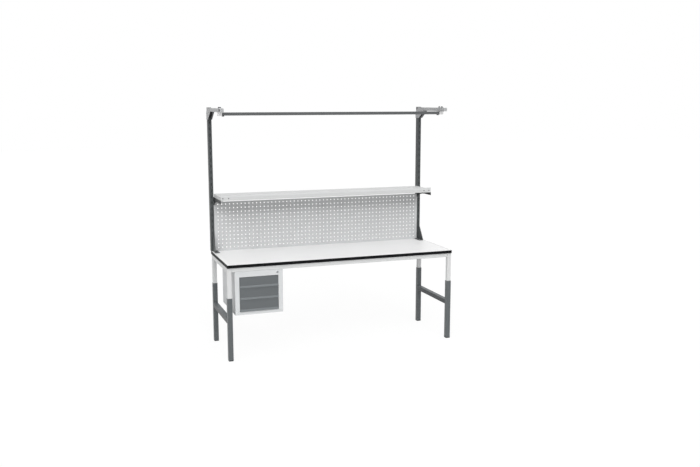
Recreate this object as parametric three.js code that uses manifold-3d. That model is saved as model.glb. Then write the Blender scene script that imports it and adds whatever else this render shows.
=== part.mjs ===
// Assembly workbench with telescopic legs, an under-bench drawer cabinet, a perforated
// back board, a shelf and an overhead tool rail. Millimetres, +Z up. The origin is on the
// floor, midway across the width and midway between the front edge and the rearmost bracket.
import * as THREE from 'three';
import { mergeVertices } from 'three/addons/utils/BufferGeometryUtils.js';
import Module from 'manifold-3d';

const wasm = await Module();
wasm.setup();

// Tabletop
const tableWidth = 2000;
const tableDepth = 700;
const tableHeight = 800;
const topThickness = 25;
const bandThickness = 2;
const bandCornerRadius = 4;

// Clearances shared by all pieces
const seatGap = 0.3;
const cutOverrun = 5;

// Telescopic legs and the frame under the top
const legTube = 35;
const legWall = 2;
const sleeveWall = 2;
const slideClearance = 0.5;
const tubeCornerRadius = 3;
const legSetbackFront = 14;
const legSetbackRear = 34.5;
const sleeveTopHeight = 524;
const legInsertion = 200;
const railHeight = 35;
const railDepth = 35;
const railWall = 2;
const crossbarHeight = 329;
const footCapHeight = 8;
const footCapTaper = 2;
const footPlugHeight = 30;

// Clamp screws in the sleeves
const screwDiameter = 8;
const hexAcrossFlats = 13;
const screwHeadHeight = 5.5;
const nutHeight = 6.5;
const clampScrewDrop = 45;

// Uprights and their feet
const uprightWidth = 32;
const uprightDepth = 50;
const uprightWall = 2;
const uprightHeight = 1240;
const uprightOverhang = 27;
const slotWidth = 9;
const slotHeight = 25;
const slotPitch = 53;
const slotFirstHeight = 55;
const footPlateThickness = 4;
const footPlateReach = 112;
const footPlateInward = 22;
const gussetThickness = 4;
const gussetHeight = 167;
const gussetInset = 14;

// Perforated board
const pegColumns = 55;
const pegRows = 12;
const leftPegColumns = 28;
const pegHole = 10;
const boardThickness = 2;
const boardMargin = 20.6;
const boardLift = 10;
const boardReturn = 15;

// Shelf and its brackets
const shelfAboveBoard = 44;
const shelfDepth = 300;
const shelfSheet = 2;
const shelfFlange = 30;
const shelfLip = 15;
const shelfHem = 8;
const shelfEndGap = 3;
const bracketPlate = 2.4;
const bracketSeatWidth = 25;
const bracketToeHeight = 26;
const bracketRootHeight = 71;
const bracketArchReach = 200;
const bracketTabClearance = 4;
const bracketTabDepth = 45;

// Overhead arms and their saddles
const armHeight = 30;
const armWall = 2;
const armEndMargin = 9;
const saddlePlate = 2.5;
const saddleDrop = 98;
const saddleToe = 15;
const saddleReach = 125;
const saddleCornerReach = 50;
const saddleCornerDrop = 38;

// Tool rail, its clamps and stops
const toolRailHeight = 25;
const toolRailDepth = 26;
const toolRailWall = 2;
const toolRailMouth = 10;
const toolRailReach = 435;
const toolRailForward = 55;
const toolRailBack = 220;
const toolRailDrop = 2;
const clampBlockDepth = 40;
const clampBlockHeight = 29;
const clampBlockChamfer = 3;
const clampFlangeDepth = 65;
const clampFlange = 7;
const clampTongue = 6;
const clampBoltDiameter = 8;
const clampBoltSpacing = 50;
const clampBoltHead = 8;
const clampStrap = 3;
const clampStrapWidth = 24;
const stopHead = 17;
const stopHeadHeight = 7.5;
const stopPlateLength = 10;
const stopPlateHeight = 5;

// Drawer cabinet
const cabinetWidth = 400;
const cabinetDepth = 500;
const cabinetHeight = 360;
const cabinetSetback = 17;
const cabinetInset = 61.5;
const cabinetSheet = 2;
const cabinetCornerRadius = 3;
const cabinetFrameDepth = 18;
const cabinetFrameFold = 2;
const openingSideMargin = 37;
const openingTopMargin = 46.5;
const openingBottomMargin = 26.5;
const hangerSheet = 3;
const hangerWidth = 30;
const hangerSideMargin = 35;
const hangerRearMargin = 10;

// Drawers and runners
const drawerCount = 3;
const drawerGap = 3;
const drawerRecess = 2;
const drawerPanel = 14;
const drawerSheet = 1.5;
const drawerRearMargin = 42;
const drawerBoxLift = 10;
const drawerBoxDrop = 15;
const topFrontShortfall = 10;
const pullReach = 11;
const pullTop = 14;
const pullFold = 4;
const pullDrop = 1.5;
const pullBend = 2;
const runnerDepth = 12;
const runnerSheet = 1.5;
const runnerClearance = 0.8;
const runnerLift = 30;
const guideHeight = 10;
const standoffLength = 30;

// Cabinet lock
const lockInset = 44.5;
const lockDrop = 23;
const lockFlange = 20;
const lockBarrel = 15;
const lockPlug = 11;
const lockFlangeThickness = 2;
const keySlotWidth = 1.6;
const keySlotLength = 7;
const keySlotDepth = 3;
const camLength = 14;
const camWidth = 7;
const camThickness = 2;

// Facets of the round forms
const cornerFacets = 1;
const panelFacets = 2;
const roundFacets = 16;
const rodFacets = 8;
const archFacets = 8;
const squareFacets = 4;
const hexFacets = 6;

// Places worked out from the sizes
const halfWidth = tableWidth / 2;
const uprightRearPlay = seatGap + saddlePlate;
const benchDepth = tableDepth + uprightOverhang + uprightRearPlay;
const frontY = -benchDepth / 2;
const tableRearY = frontY + tableDepth;
const uprightRearY = tableRearY + uprightOverhang;
const uprightFrontY = uprightRearY - uprightDepth;
const undersideZ = tableHeight - topThickness;
const sleeveTube = legTube + 2 * (slideClearance + sleeveWall);
const legX = halfWidth - legTube / 2;
const legFrontY = frontY + legSetbackFront + legTube / 2;
const legRearY = tableRearY - legSetbackRear - legTube / 2;
const railTopZ = undersideZ - seatGap;
const railBottomZ = railTopZ - railHeight;
const uprightX = halfWidth - uprightWidth / 2;
const uprightClearHalf = uprightX - uprightWidth / 2;
const uprightTopZ = tableHeight + uprightHeight;
const pegPitch = 2 * uprightClearHalf / (pegColumns + 1);
const boardBottomZ = tableHeight + boardLift;
const boardTopZ = boardBottomZ + 2 * boardMargin + (pegRows - 1) * pegPitch;
const shelfFlangeZ = boardTopZ + shelfAboveBoard;
const armUndersideZ = uprightTopZ - armHeight;
const clampBoltReach = clampBoltSpacing / 2 + clampBoltDiameter / 2 + seatGap;
const armSlotEnd = toolRailReach + toolRailForward + clampBoltReach;
const armSlotStart = toolRailReach - toolRailBack - clampBoltReach;
const armLength = armSlotEnd + armEndMargin;
const armSlotWidth = clampBoltDiameter + 2 * seatGap;
const cabinetX = -halfWidth + cabinetInset + cabinetWidth / 2;
const cabinetFrontY = frontY + cabinetSetback;
const cabinetTopZ = railBottomZ - seatGap;
const openingWidth = cabinetWidth - 2 * openingSideMargin;
const openingHeight = cabinetHeight - openingTopMargin - openingBottomMargin;
const frontsHeight = openingHeight - (drawerCount + 1) * drawerGap;
const drawerFrontHeight = (frontsHeight + topFrontShortfall) / drawerCount;
const drawerLength = cabinetDepth - cabinetFrameDepth - drawerRearMargin;
const runnerHeight = guideHeight + 2 * (runnerClearance + runnerSheet);
const drawerBoxWidth = openingWidth - 2 * (runnerDepth + runnerClearance);
const guideDepth = runnerDepth - runnerSheet;
const steelGrey = 0x6c7073;
const darkGrey = 0x4a4d50;
const lightGrey = 0xb9bcbe;
const white = 0xe6e7e8;

// Finishes
function finish(color, roughness, metalness) {
  return new THREE.MeshStandardMaterial({ color, roughness, metalness });
}

const laminate = finish(0xe8e8e8, 0.5, 0);
const edging = finish(0x1c1c1e, 0.5, 0);
const whitePaint = finish(white, 0.45, 0.1);
const greyPaint = finish(steelGrey, 0.5, 0.1);
const darkPaint = finish(darkGrey, 0.5, 0.1);
const lightPaint = finish(lightGrey, 0.5, 0.1);
const plastic = finish(0x2a2b2d, 0.6, 0);
const zinc = finish(0xa8abae, 0.35, 0.9);

// Shape helpers
function block(x0, x1, y0, y1, z0, z1) {
  const box = new THREE.BoxGeometry(x1 - x0, y1 - y0, z1 - z0);
  box.translate((x0 + x1) / 2, (y0 + y1) / 2, (z0 + z1) / 2);
  return box;
}

function roundedRectangle(path, width, height, radius) {
  const x = width / 2 - radius;
  const y = height / 2 - radius;
  path.absarc(x, y, radius, 0, Math.PI / 2);
  path.absarc(-x, y, radius, Math.PI / 2, Math.PI);
  path.absarc(-x, -y, radius, Math.PI, 1.5 * Math.PI);
  path.absarc(x, -y, radius, 1.5 * Math.PI, 2 * Math.PI);
  path.closePath();
  return path;
}

function rectangle(path, x0, x1, y0, y1) {
  path.moveTo(x0, y0);
  path.lineTo(x1, y0);
  path.lineTo(x1, y1);
  path.lineTo(x0, y1);
  path.closePath();
  return path;
}

function outline(points) {
  return new THREE.Shape(points.map(([x, y]) => new THREE.Vector2(x, y)));
}

function extrude(shape, depth, facets = cornerFacets) {
  return new THREE.ExtrudeGeometry(shape, { depth, bevelEnabled: false, curveSegments: facets });
}

const xAxis = new THREE.Vector3(1, 0, 0);
const yAxis = new THREE.Vector3(0, 1, 0);
const zAxis = new THREE.Vector3(0, 0, 1);

// A shape drawn as (y, z), swept from x0 to x1
function sweepX(shape, x0, x1, facets) {
  const turn = new THREE.Matrix4().makeBasis(yAxis, zAxis, xAxis);
  return extrude(shape, x1 - x0, facets).applyMatrix4(turn).translate(x0, 0, 0);
}

// A shape drawn as (x, z), swept from y0 to y1
function sweepY(shape, y0, y1, facets) {
  const turn = new THREE.Matrix4().makeBasis(xAxis, zAxis, yAxis.clone().negate());
  return extrude(shape, y1 - y0, facets).applyMatrix4(turn).translate(0, y1, 0);
}

// A shape drawn as (x, y), swept from z0 to z1
function sweepZ(shape, z0, z1, facets) {
  return extrude(shape, z1 - z0, facets).translate(0, 0, z0);
}

function tubeSection(width, height, wall, radius = tubeCornerRadius) {
  const section = roundedRectangle(new THREE.Shape(), width, height, radius);
  const innerX = width / 2 - wall;
  const innerY = height / 2 - wall;
  section.holes.push(rectangle(new THREE.Path(), -innerX, innerX, -innerY, innerY));
  return section;
}

function cylinder(radius, length, facets = roundFacets) {
  return new THREE.CylinderGeometry(radius, radius, length, facets).rotateX(Math.PI / 2);
}

function hexPrism(acrossFlats, length) {
  return cylinder(acrossFlats / Math.sqrt(3), length, hexFacets);
}

// Joins and cuts of closed meshes
function toSolid(geometry) {
  const bare = geometry.clone();
  bare.deleteAttribute('normal');
  bare.deleteAttribute('uv');
  const merged = mergeVertices(bare);
  const vertProperties = new Float32Array(merged.attributes.position.array);
  const triVerts = new Uint32Array(merged.index.array);
  return new wasm.Manifold(new wasm.Mesh({ numProp: 3, vertProperties, triVerts }));
}

function toGeometry(solid) {
  const mesh = solid.getMesh();
  const geometry = new THREE.BufferGeometry();
  geometry.setAttribute('position', new THREE.BufferAttribute(mesh.vertProperties, 3));
  geometry.setIndex(new THREE.BufferAttribute(mesh.triVerts, 1));
  geometry.computeVertexNormals();
  return geometry;
}

function join(...geometries) {
  return toGeometry(wasm.Manifold.union(geometries.map(toSolid)));
}

function cut(geometry, ...tools) {
  return toGeometry(wasm.Manifold.difference([geometry, ...tools].map(toSolid)));
}

function piece(name, geometry, material, x = 0, y = 0, z = 0) {
  const mesh = new THREE.Mesh(geometry, material);
  mesh.name = name;
  mesh.position.set(x, y, z);
  return mesh;
}

function groupAt(x, y, z, ...children) {
  const group = new THREE.Group();
  group.position.set(x, y, z);
  children.forEach((child) => group.add(child));
  return group;
}

const sides = [['left', -1], ['right', 1]];

// Tabletop: a laminated panel inside a glued edge band
function tabletop() {
  const panelWidth = tableWidth - 2 * (bandThickness + seatGap);
  const panelDepth = tableDepth - 2 * (bandThickness + seatGap);
  const panel = roundedRectangle(new THREE.Shape(), panelWidth, panelDepth, bandCornerRadius);
  const band = roundedRectangle(new THREE.Shape(), tableWidth, tableDepth, bandCornerRadius);
  const innerWidth = tableWidth - 2 * bandThickness;
  const innerDepth = tableDepth - 2 * bandThickness;
  const innerRadius = bandCornerRadius - bandThickness;
  band.holes.push(roundedRectangle(new THREE.Path(), innerWidth, innerDepth, innerRadius));
  return groupAt(0, (frontY + tableRearY) / 2, undersideZ,
    piece('tabletop_panel', sweepZ(panel, 0, topThickness, panelFacets), laminate),
    piece('tabletop_edge_band', sweepZ(band, 0, topThickness, panelFacets), edging));
}

// Frame under the top: two long rails, two end rails and the inner leg tubes
function underframe() {
  const group = new THREE.Group();
  const railReach = halfWidth - legTube - seatGap;
  const railZ = (railTopZ + railBottomZ) / 2;
  const section = tubeSection(railDepth, railHeight, railWall);
  const longRail = sweepX(section, -railReach, railReach);
  const frontRailY = legFrontY - legTube / 2 + railDepth / 2;
  const rearRailY = legRearY + legTube / 2 - railDepth / 2;
  group.add(piece('front_rail', longRail, whitePaint, 0, frontRailY, railZ));
  group.add(piece('rear_rail', longRail, whitePaint, 0, rearRailY, railZ));
  const endStart = legFrontY + legTube / 2 + seatGap;
  const endStop = legRearY - legTube / 2 - seatGap;
  const endRail = sweepY(section, endStart, endStop);
  const innerLeg = sweepZ(tubeSection(legTube, legTube, legWall), sleeveTopHeight - legInsertion, railTopZ);
  for (const [name, side] of sides) {
    group.add(piece(`end_rail_${name}`, endRail, whitePaint, side * (halfWidth - railDepth / 2), 0, railZ));
    group.add(piece(`leg_tube_front_${name}`, innerLeg, whitePaint, side * legX, legFrontY, 0));
    group.add(piece(`leg_tube_rear_${name}`, innerLeg, whitePaint, side * legX, legRearY, 0));
  }
  return group;
}

// Outer leg sleeve with a welded nut for its clamp screw in the rear wall
function sleeveGeometry() {
  const section = tubeSection(sleeveTube, sleeveTube, sleeveWall);
  const tube = sweepZ(section, footCapHeight + seatGap, sleeveTopHeight);
  const nutY = sleeveTube / 2 + nutHeight / 2 - sleeveWall / 2;
  const screwZ = sleeveTopHeight - clampScrewDrop;
  const nut = hexPrism(hexAcrossFlats, nutHeight + sleeveWall).rotateX(Math.PI / 2);
  nut.translate(0, nutY, screwZ);
  const holeLength = nutHeight + 2 * sleeveWall + cutOverrun;
  const hole = cylinder(screwDiameter / 2 + seatGap, holeLength).rotateX(Math.PI / 2);
  hole.translate(0, nutY, screwZ);
  return cut(join(tube, nut), hole);
}

// Clamp screw: its tip stops just short of the inner tube
function clampScrewGeometry() {
  const tipY = legTube / 2 + seatGap;
  const headY = sleeveTube / 2 + nutHeight + seatGap;
  const head = hexPrism(hexAcrossFlats, screwHeadHeight).rotateX(Math.PI / 2);
  head.translate(0, headY + screwHeadHeight / 2, 0);
  const shankLength = headY + screwHeadHeight / 2 - tipY;
  const shank = cylinder(screwDiameter / 2, shankLength).rotateX(Math.PI / 2);
  shank.translate(0, tipY + shankLength / 2, 0);
  return join(head, shank);
}

// Plastic foot: a tapered flange under the sleeve and a square plug inside it
function footCapGeometry() {
  const toRadius = 1 / Math.sqrt(2);
  const top = sleeveTube * toRadius;
  const bottom = (sleeveTube - 2 * footCapTaper) * toRadius;
  const flange = new THREE.CylinderGeometry(top, bottom, footCapHeight, squareFacets);
  flange.rotateY(Math.PI / squareFacets).rotateX(Math.PI / 2).translate(0, 0, footCapHeight / 2);
  const half = sleeveTube / 2 - sleeveWall - seatGap;
  const plug = block(-half, half, -half, half, footCapHeight / 2, footCapHeight + footPlugHeight);
  return join(flange, plug);
}

// Leg frame: two sleeves joined by a crossbar, on plastic feet, all sliding on the leg tubes
function legFrame(name, side) {
  const sleeve = sleeveGeometry();
  const screw = clampScrewGeometry();
  const cap = footCapGeometry();
  const screwZ = sleeveTopHeight - clampScrewDrop;
  const barStart = legFrontY + sleeveTube / 2 + seatGap;
  const barStop = legRearY - sleeveTube / 2 - seatGap;
  const bar = sweepY(tubeSection(sleeveTube, sleeveTube, sleeveWall), barStart, barStop);
  const group = groupAt(side * legX, 0, 0, piece(`crossbar_${name}`, bar, greyPaint, 0, 0, crossbarHeight));
  for (const [end, y] of [['front', legFrontY], ['rear', legRearY]]) {
    group.add(piece(`sleeve_${end}_${name}`, sleeve, greyPaint, 0, y, 0));
    group.add(piece(`foot_cap_${end}_${name}`, cap, plastic, 0, y, 0));
    group.add(piece(`clamp_screw_${end}_${name}`, screw, zinc, 0, y, screwZ));
  }
  return group;
}

// Upright: a box section with a row of slots down its front face
function uprightGeometry() {
  const bottom = tableHeight + footPlateThickness + 2 * seatGap;
  const tube = sweepZ(tubeSection(uprightWidth, uprightDepth, uprightWall), bottom, uprightTopZ);
  const first = tableHeight + slotFirstHeight;
  const count = Math.floor((uprightTopZ - slotHeight - first) / slotPitch) + 1;
  const slots = [];
  for (let i = 0; i < count; i += 1) {
    const z = first + i * slotPitch;
    const front = -uprightDepth / 2 - cutOverrun;
    const back = -uprightDepth / 2 + uprightWall + cutOverrun;
    slots.push(block(-slotWidth / 2, slotWidth / 2, front, back, z - slotHeight / 2, z + slotHeight / 2));
  }
  return cut(tube, ...slots);
}

// Foot of an upright: a plate under it with a tongue along the tabletop, and a triangular gusset
// on the tongue's outer edge
function uprightFootGeometry(side) {
  const outer = side * uprightWidth / 2;
  const inner = -side * (uprightWidth / 2 + footPlateInward);
  const web = outer - side * gussetInset;
  const webInside = web - side * gussetThickness;
  const tip = uprightFrontY - footPlateReach;
  const seat = block(Math.min(outer, inner), Math.max(outer, inner), uprightFrontY, uprightRearY,
    0, footPlateThickness);
  const tongue = block(Math.min(web, inner), Math.max(web, inner), tip,
    uprightFrontY + footPlateInward, 0, footPlateThickness);
  const gussetBack = uprightFrontY - seatGap;
  const gusset = outline([
    [tip, footPlateThickness / 2],
    [gussetBack, footPlateThickness / 2],
    [gussetBack, gussetHeight],
    [tip, footPlateThickness],
  ]);
  return join(seat, tongue, sweepX(gusset, Math.min(web, webInside), Math.max(web, webInside)));
}

function uprights() {
  const group = new THREE.Group();
  const upright = uprightGeometry();
  for (const [name, side] of sides) {
    const y = (uprightFrontY + uprightRearY) / 2;
    group.add(piece(`upright_${name}`, upright, darkPaint, side * uprightX, y, 0));
    const foot = uprightFootGeometry(side);
    group.add(piece(`upright_foot_${name}`, foot, darkPaint, side * uprightX, 0, tableHeight + seatGap));
  }
  return group;
}

// Half of the perforated board, with its edges folded back
function pegboardGeometry(x0, x1, firstColumn, lastColumn, outerEdge) {
  const front = uprightFrontY;
  const inside = front + boardThickness / 2;
  const back = front + boardReturn;
  const half = pegHole / 2;
  const holes = [];
  for (let column = firstColumn; column <= lastColumn; column += 1) {
    for (let row = 0; row < pegRows; row += 1) {
      const x = (column - (pegColumns - 1) / 2) * pegPitch;
      const z = boardBottomZ + boardMargin + row * pegPitch;
      holes.push(block(x - half, x + half, front - cutOverrun, back - cutOverrun, z - half, z + half));
    }
  }
  const sheet = block(x0, x1, front, front + boardThickness, boardBottomZ, boardTopZ);
  const sideEdge = outerEdge < 0 ? [x0, x0 + boardThickness] : [x1 - boardThickness, x1];
  return join(
    cut(sheet, ...holes),
    block(x0, x1, inside, back, boardBottomZ, boardBottomZ + boardThickness),
    block(x0, x1, inside, back, boardTopZ - boardThickness, boardTopZ),
    block(...sideEdge, inside, back, boardBottomZ, boardTopZ));
}

function pegboard() {
  const edge = uprightClearHalf - seatGap;
  const seam = (leftPegColumns - pegColumns / 2) * pegPitch;
  const left = pegboardGeometry(-edge, seam - seatGap / 2, 0, leftPegColumns - 1, -1);
  const right = pegboardGeometry(seam + seatGap / 2, edge, leftPegColumns, pegColumns - 1, 1);
  return groupAt(0, 0, 0,
    piece('pegboard_left', left, lightPaint),
    piece('pegboard_right', right, lightPaint));
}

// Shelf: a folded tray with a raised front lip, flanges all round and a hem under the front
function shelfGeometry() {
  const half = uprightClearHalf - shelfEndGap;
  const t = shelfSheet;
  const surface = shelfFlange;
  const section = outline([
    [-shelfDepth, 0],
    [-shelfDepth + shelfHem, 0],
    [-shelfDepth + shelfHem, t],
    [-shelfDepth + t, t],
    [-shelfDepth + t, surface - t],
    [-t, surface - t],
    [-t, 0],
    [0, 0],
    [0, surface],
    [-shelfDepth + t, surface],
    [-shelfDepth + t, surface + shelfLip],
    [-shelfDepth, surface + shelfLip],
  ]);
  const tray = sweepX(section, -half, half);
  const flanges = sides.map(([, side]) => {
    const outer = side * half;
    const inner = side * (half - t);
    return block(Math.min(outer, inner), Math.max(outer, inner), -shelfDepth + t / 2, -t / 2, 0, surface - t / 2);
  });
  return join(tray, ...flanges);
}

// Shelf bracket: an arched web under the shelf's end, a seat flange and a tab on the upright
function shelfBracketGeometry(side) {
  const rootY = -seatGap;
  const toeY = -shelfDepth;
  const archY = rootY - bracketArchReach;
  const rise = bracketRootHeight - bracketToeHeight;
  const section = new THREE.Shape();
  section.moveTo(toeY, 0);
  section.lineTo(toeY, -bracketToeHeight);
  section.lineTo(archY, -bracketToeHeight);
  section.bezierCurveTo(archY / 2, -bracketToeHeight, archY / 4, -bracketToeHeight - rise / 3,
    rootY, -bracketRootHeight);
  section.lineTo(rootY, -shelfAboveBoard + bracketTabClearance);
  section.lineTo(bracketTabDepth, -shelfAboveBoard + bracketTabClearance);
  section.lineTo(bracketTabDepth, 0);
  section.closePath();
  const outer = side * (uprightClearHalf - seatGap);
  const web = side * (uprightClearHalf - seatGap - bracketPlate);
  const seat = side * (uprightClearHalf - seatGap - bracketSeatWidth);
  return join(
    sweepX(section, Math.min(outer, web), Math.max(outer, web), archFacets),
    block(Math.min(outer, seat), Math.max(outer, seat), toeY, rootY, -bracketPlate, 0));
}

function shelfAssembly() {
  const group = groupAt(0, uprightFrontY, shelfFlangeZ,
    piece('shelf', shelfGeometry(), whitePaint, 0, -seatGap, 0));
  for (const [name, side] of sides) {
    group.add(piece(`shelf_bracket_${name}`, shelfBracketGeometry(side), darkPaint, 0, 0, -seatGap));
  }
  return group;
}

// Saddle: two side plates joined by a rear web, round the head of the upright and the arm
function saddleGeometry() {
  const inner = uprightWidth / 2 + seatGap;
  const rear = uprightDepth + uprightRearPlay;
  const section = outline([
    [rear, -saddleDrop],
    [-saddleToe, -saddleDrop],
    [-saddleReach, -armHeight],
    [-saddleReach, 0],
    [rear - saddleCornerReach, 0],
    [rear, -saddleCornerDrop],
  ]);
  const webBottom = -saddleDrop;
  const webTop = -saddleCornerDrop;
  return join(
    sweepX(section, -inner - saddlePlate, -inner),
    sweepX(section, inner, inner + saddlePlate),
    block(-inner - saddlePlate / 2, inner + saddlePlate / 2, rear - saddlePlate, rear, webBottom, webTop));
}

// Arm: a slotted tube reaching forward from the head of the upright, closed at its tip
function armGeometry() {
  const start = -seatGap;
  const tip = -armLength;
  const tube = sweepY(tubeSection(uprightWidth, armHeight, armWall), tip, start);
  const halfX = uprightWidth / 2 - armWall / 2;
  const halfZ = armHeight / 2 - armWall / 2;
  const cap = block(-halfX, halfX, tip, tip + armWall, -halfZ, halfZ);
  const slot = block(-armSlotWidth / 2, armSlotWidth / 2, -armSlotEnd, -armSlotStart,
    -armHeight, armHeight);
  return cut(join(tube, cap), slot);
}

function arms() {
  const group = groupAt(0, uprightFrontY, uprightTopZ);
  const saddle = saddleGeometry();
  const arm = armGeometry();
  for (const [name, side] of sides) {
    group.add(piece(`arm_saddle_${name}`, saddle, lightPaint, side * uprightX, 0, 0));
    group.add(piece(`arm_${name}`, arm, lightPaint, side * uprightX, 0, -armHeight / 2));
  }
  return group;
}

// Tool rail: a channel open below
function toolRailGeometry(half) {
  const y = toolRailDepth / 2;
  const z = toolRailHeight;
  const t = toolRailWall;
  const mouth = toolRailMouth / 2;
  const section = outline([
    [-y, -z], [-mouth, -z], [-mouth, -z + t], [-y + t, -z + t], [-y + t, -t], [y - t, -t],
    [y - t, -z + t], [mouth, -z + t], [mouth, -z], [y, -z], [y, 0], [-y, 0],
  ]);
  return sweepX(section, -half, half);
}

// Clamp block: a flange under the arm, a body below it and a tongue inside the end of the rail
function clampBlockGeometry(side) {
  const halfX = uprightWidth / 2;
  const halfY = clampBlockDepth / 2;
  const flangeY = clampFlangeDepth / 2;
  const chamferY = halfY - clampBlockChamfer;
  const chamferZ = -clampBlockHeight + clampBlockChamfer;
  const section = outline([
    [-flangeY, 0], [-flangeY, -clampFlange], [-halfY, -clampFlange], [-halfY, chamferZ],
    [-chamferY, -clampBlockHeight], [chamferY, -clampBlockHeight], [halfY, chamferZ],
    [halfY, -clampFlange], [flangeY, -clampFlange], [flangeY, 0],
  ]);
  const body = sweepX(section, -halfX, halfX);
  const tongueY = toolRailDepth / 2 - toolRailWall - seatGap;
  const tongueTop = -toolRailDrop - toolRailWall - seatGap;
  const tongueBottom = -toolRailDrop - toolRailHeight + toolRailWall + seatGap;
  const root = -side * (halfX - clampTongue);
  const end = -side * (halfX + clampTongue);
  const tongue = block(Math.min(root, end), Math.max(root, end), -tongueY, tongueY, tongueBottom, tongueTop);
  const bores = [-1, 1].map((way) => {
    const bore = cylinder(clampBoltDiameter / 2 + seatGap, clampBlockHeight, rodFacets);
    return bore.translate(0, way * clampBoltSpacing / 2, 0);
  });
  return cut(join(body, tongue), ...bores);
}

// Clamp bolts: two heads on a strap over the arm, their shanks down through it into the block
function clampBoltGeometry() {
  const strapBottom = armHeight + 2 * seatGap;
  const strapTop = strapBottom + clampStrap;
  const shankBottom = -clampFlange;
  const shankLength = strapTop - shankBottom;
  const strapX = clampStrapWidth / 2;
  const strapY = clampBoltSpacing / 2 + hexAcrossFlats / 2;
  const solids = [block(-strapX, strapX, -strapY, strapY, strapBottom, strapTop)];
  for (const side of [-1, 1]) {
    const y = side * clampBoltSpacing / 2;
    const head = hexPrism(hexAcrossFlats, clampBoltHead + clampStrap);
    solids.push(head.translate(0, y, strapBottom + (clampBoltHead + clampStrap) / 2));
    const shank = cylinder(clampBoltDiameter / 2, shankLength, rodFacets);
    solids.push(shank.translate(0, y, shankBottom + shankLength / 2));
  }
  return join(...solids);
}

// Stop: a plate inside the rail held by a screw through its mouth
function railStopGeometry() {
  const plateZ = -toolRailHeight + toolRailWall + seatGap;
  const plateX = stopPlateLength / 2;
  const plateY = toolRailDepth / 2 - toolRailWall - seatGap;
  const plate = block(-plateX, plateX, -plateY, plateY, plateZ, plateZ + stopPlateHeight);
  const headTop = -toolRailHeight - seatGap;
  const head = hexPrism(stopHead, stopHeadHeight).translate(0, 0, headTop - stopHeadHeight / 2);
  const shankTop = plateZ + stopPlateHeight / 2;
  const shankBottom = headTop - stopHeadHeight / 2;
  const shank = cylinder(screwDiameter / 2, shankTop - shankBottom, rodFacets);
  shank.translate(0, 0, (shankTop + shankBottom) / 2);
  return join(plate, head, shank);
}

function toolRail() {
  const half = uprightClearHalf - seatGap;
  const blockTop = armUndersideZ - seatGap;
  const railTop = blockTop - toolRailDrop;
  const stopX = half - clampTongue - seatGap - stopPlateLength / 2;
  const group = groupAt(0, uprightFrontY - toolRailReach, 0,
    piece('tool_rail', toolRailGeometry(half), greyPaint, 0, 0, railTop));
  const bolt = clampBoltGeometry();
  const stop = railStopGeometry();
  for (const [name, side] of sides) {
    group.add(piece(`rail_clamp_${name}`, clampBlockGeometry(side), lightPaint, side * uprightX, 0, blockTop));
    group.add(piece(`rail_clamp_bolt_${name}`, bolt, zinc, side * uprightX, 0, blockTop));
    group.add(piece(`rail_stop_${name}`, stop, darkPaint, side * stopX, 0, railTop));
  }
  return group;
}

// Cabinet case: a folded box, open at the front inside a deep frame
function cabinetCaseGeometry() {
  const halfX = cabinetWidth / 2;
  const shell = roundedRectangle(new THREE.Shape(), cabinetWidth, cabinetDepth, cabinetCornerRadius);
  const box = sweepZ(shell, -cabinetHeight, 0).translate(0, cabinetDepth / 2, 0);
  const cavity = block(-halfX + cabinetSheet, halfX - cabinetSheet, cabinetSheet,
    cabinetDepth - cabinetSheet, -cabinetHeight + cabinetSheet, -cabinetSheet);
  const foldHalf = openingWidth / 2 + cabinetFrameFold;
  const foldTop = -openingTopMargin + cabinetFrameFold;
  const foldBottom = -openingTopMargin - openingHeight - cabinetFrameFold;
  const fold = block(-foldHalf, foldHalf, cabinetSheet / 2, cabinetFrameDepth, foldBottom, foldTop);
  const mouth = block(-openingWidth / 2, openingWidth / 2, -cutOverrun, cabinetFrameDepth + cutOverrun,
    -openingTopMargin - openingHeight, -openingTopMargin);
  const lockHole = cylinder(lockBarrel / 2 + seatGap, 2 * (cabinetSheet + cutOverrun));
  lockHole.rotateX(Math.PI / 2).translate(halfX - lockInset, 0, -lockDrop);
  return cut(join(cut(box, cavity), fold), mouth, lockHole);
}

// Hanger: two folded bars between the case and the tabletop, tied by a strap on the case
function hangerGeometry() {
  const height = undersideZ - cabinetTopZ - 2 * seatGap;
  const start = legTube + railDepth;
  const stop = cabinetDepth - hangerRearMargin;
  const t = hangerSheet;
  const w = hangerWidth / 2;
  const barX = cabinetWidth / 2 - hangerSideMargin - w;
  const bars = [-1, 1].map((side) => {
    const x = side * barX;
    const section = outline([
      [x - w, 0], [x + w, 0], [x + w, t], [x + t / 2, t], [x + t / 2, height - t], [x + w, height - t],
      [x + w, height], [x - w, height], [x - w, height - t], [x - t / 2, height - t], [x - t / 2, t],
      [x - w, t],
    ]);
    return sweepY(section, start, stop);
  });
  const strapY = (start + stop) / 2;
  const strap = block(-barX, barX, strapY - w, strapY + w, 0, t);
  return join(...bars, strap);
}

// Runner: a channel open towards the drawer, on two standoffs against the case's side
function runnerGeometry(side) {
  const mouth = openingWidth / 2 - runnerDepth;
  const web = openingWidth / 2;
  const wall = cabinetWidth / 2 - cabinetSheet - seatGap;
  const half = runnerHeight / 2;
  const t = runnerSheet;
  const section = outline([
    [mouth, -half], [web, -half], [web, half], [mouth, half],
    [mouth, half - t], [web - t, half - t], [web - t, -half + t], [mouth, -half + t],
  ].map(([x, z]) => [side * x, z]));
  const start = cabinetFrameDepth + seatGap;
  const channel = sweepY(section, start, start + drawerLength);
  const standoffs = [start, start + drawerLength - standoffLength].map((y) => block(
    Math.min(side * (web - t / 2), side * wall), Math.max(side * (web - t / 2), side * wall),
    y, y + standoffLength, -half, half));
  return join(channel, ...standoffs);
}

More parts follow.
